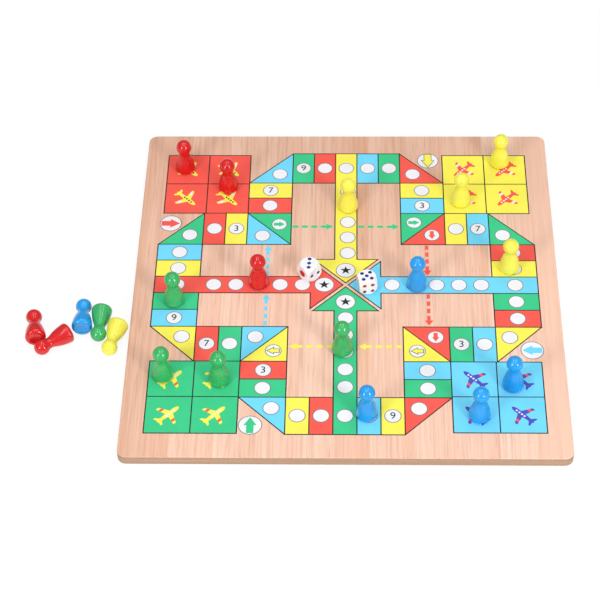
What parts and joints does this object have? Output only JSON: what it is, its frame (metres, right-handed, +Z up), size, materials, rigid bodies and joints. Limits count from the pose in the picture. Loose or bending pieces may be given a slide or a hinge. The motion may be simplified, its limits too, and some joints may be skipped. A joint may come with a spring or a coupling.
{
  "type": "aeroplane chess board",
  "caption": "Nearly square plywood game board with a printed aeroplane chess track in four colours, set out with moulded pawns and dice that lift off it.",
  "frame": {"origin": "centre of the board's underside, which lies on the table", "axes": "+X to the right of the player at the front edge, +Y away from that player, +Z up out of the printed face"},
  "size_m": [0.349, 0.29, 0.0333],
  "materials": {
    "face_wood": "pale streaked face veneer, sanded and thinly sealed",
    "core_wood": "cross-laid core, bare sanded edge",
    "ink_outline": "printed ink film, satin",
    "ink_green": "printed ink film, satin",
    "ink_red": "printed ink film, satin",
    "ink_yellow": "printed ink film, satin",
    "ink_blue": "printed ink film, satin",
    "ink_grey": "printed ink film, satin",
    "ink_white": "printed ink film, satin",
    "green_plastic": "glossy moulded plastic",
    "red_plastic": "glossy moulded plastic",
    "yellow_plastic": "glossy moulded plastic",
    "blue_plastic": "glossy moulded plastic",
    "die_plastic": "glossy moulded plastic",
    "red_pip_paint": "satin paint in the hollows",
    "blue_pip_paint": "satin paint in the hollows"
  },
  "bodies": {
    "board": {"bottom_ply": "face_wood", "core_ply": "core_wood", "top_ply": "face_wood", "ink_outline": "ink_outline", "ink_green": "ink_green", "ink_red": "ink_red", "ink_yellow": "ink_yellow", "ink_blue": "ink_blue", "ink_grey": "ink_grey", "ink_white": "ink_white"},
    "green_pawn_1": {"green_pawn_1": "green_plastic"},
    "green_pawn_2": {"green_pawn_2": "green_plastic"},
    "green_pawn_3": {"green_pawn_3": "green_plastic"},
    "green_pawn_4": {"green_pawn_4": "green_plastic"},
    "green_pawn_5": {"green_pawn_5": "green_plastic"},
    "red_pawn_1": {"red_pawn_1": "red_plastic"},
    "red_pawn_2": {"red_pawn_2": "red_plastic"},
    "red_pawn_3": {"red_pawn_3": "red_plastic"},
    "red_pawn_4": {"red_pawn_4": "red_plastic"},
    "red_pawn_5": {"red_pawn_5": "red_plastic"},
    "yellow_pawn_1": {"yellow_pawn_1": "yellow_plastic"},
    "yellow_pawn_2": {"yellow_pawn_2": "yellow_plastic"},
    "yellow_pawn_3": {"yellow_pawn_3": "yellow_plastic"},
    "yellow_pawn_4": {"yellow_pawn_4": "yellow_plastic"},
    "yellow_pawn_5": {"yellow_pawn_5": "yellow_plastic"},
    "blue_pawn_1": {"blue_pawn_1": "blue_plastic"},
    "blue_pawn_2": {"blue_pawn_2": "blue_plastic"},
    "blue_pawn_3": {"blue_pawn_3": "blue_plastic"},
    "blue_pawn_4": {"blue_pawn_4": "blue_plastic"},
    "blue_pawn_5": {"blue_pawn_5": "blue_plastic"},
    "die_1": {"die_1": "die_plastic", "die_1_red_pips": "red_pip_paint", "die_1_blue_pips": "blue_pip_paint"},
    "die_2": {"die_2": "die_plastic", "die_2_red_pips": "red_pip_paint", "die_2_blue_pips": "blue_pip_paint"}
  },
  "joints": [
    {"name": "lift_green_pawn_1", "type": "slide", "parent": "board", "child": "green_pawn_1", "axis": [0, 0, 1], "range_m": [0, 0.05]},
    {"name": "lift_green_pawn_2", "type": "slide", "parent": "board", "child": "green_pawn_2", "axis": [0, 0, 1], "range_m": [0, 0.05]},
    {"name": "lift_green_pawn_3", "type": "slide", "parent": "board", "child": "green_pawn_3", "axis": [0, 0, 1], "range_m": [0, 0.05]},
    {"name": "lift_green_pawn_4", "type": "slide", "parent": "board", "child": "green_pawn_4", "axis": [0, 0, 1], "range_m": [0, 0.05]},
    {"name": "lift_green_pawn_5", "type": "slide", "parent": "board", "child": "green_pawn_5", "axis": [0, 0, 1], "range_m": [0, 0.05]},
    {"name": "lift_red_pawn_1", "type": "slide", "parent": "board", "child": "red_pawn_1", "axis": [0, 0, 1], "range_m": [0, 0.05]},
    {"name": "lift_red_pawn_2", "type": "slide", "parent": "board", "child": "red_pawn_2", "axis": [0, 0, 1], "range_m": [0, 0.05]},
    {"name": "lift_red_pawn_3", "type": "slide", "parent": "board", "child": "red_pawn_3", "axis": [0, 0, 1], "range_m": [0, 0.05]},
    {"name": "lift_red_pawn_4", "type": "slide", "parent": "board", "child": "red_pawn_4", "axis": [0, 0, 1], "range_m": [0, 0.05]},
    {"name": "lift_red_pawn_5", "type": "slide", "parent": "board", "child": "red_pawn_5", "axis": [0, 0, 1], "range_m": [0, 0.05]},
    {"name": "lift_yellow_pawn_1", "type": "slide", "parent": "board", "child": "yellow_pawn_1", "axis": [0, 0, 1], "range_m": [0, 0.05]},
    {"name": "lift_yellow_pawn_2", "type": "slide", "parent": "board", "child": "yellow_pawn_2", "axis": [0, 0, 1], "range_m": [0, 0.05]},
    {"name": "lift_yellow_pawn_3", "type": "slide", "parent": "board", "child": "yellow_pawn_3", "axis": [0, 0, 1], "range_m": [0, 0.05]},
    {"name": "lift_yellow_pawn_4", "type": "slide", "parent": "board", "child": "yellow_pawn_4", "axis": [0, 0, 1], "range_m": [0, 0.05]},
    {"name": "lift_yellow_pawn_5", "type": "slide", "parent": "board", "child": "yellow_pawn_5", "axis": [0, 0, 1], "range_m": [0, 0.05]},
    {"name": "lift_blue_pawn_1", "type": "slide", "parent": "board", "child": "blue_pawn_1", "axis": [0, 0, 1], "range_m": [0, 0.05]},
    {"name": "lift_blue_pawn_2", "type": "slide", "parent": "board", "child": "blue_pawn_2", "axis": [0, 0, 1], "range_m": [0, 0.05]},
    {"name": "lift_blue_pawn_3", "type": "slide", "parent": "board", "child": "blue_pawn_3", "axis": [0, 0, 1], "range_m": [0, 0.05]},
    {"name": "lift_blue_pawn_4", "type": "slide", "parent": "board", "child": "blue_pawn_4", "axis": [0, 0, 1], "range_m": [0, 0.05]},
    {"name": "lift_blue_pawn_5", "type": "slide", "parent": "board", "child": "blue_pawn_5", "axis": [0, 0, 1], "range_m": [0, 0.05]},
    {"name": "lift_die_1", "type": "slide", "parent": "board", "child": "die_1", "axis": [0, 0, 1], "range_m": [0, 0.05]},
    {"name": "lift_die_2", "type": "slide", "parent": "board", "child": "die_2", "axis": [0, 0, 1], "range_m": [0, 0.05]}
  ]
}
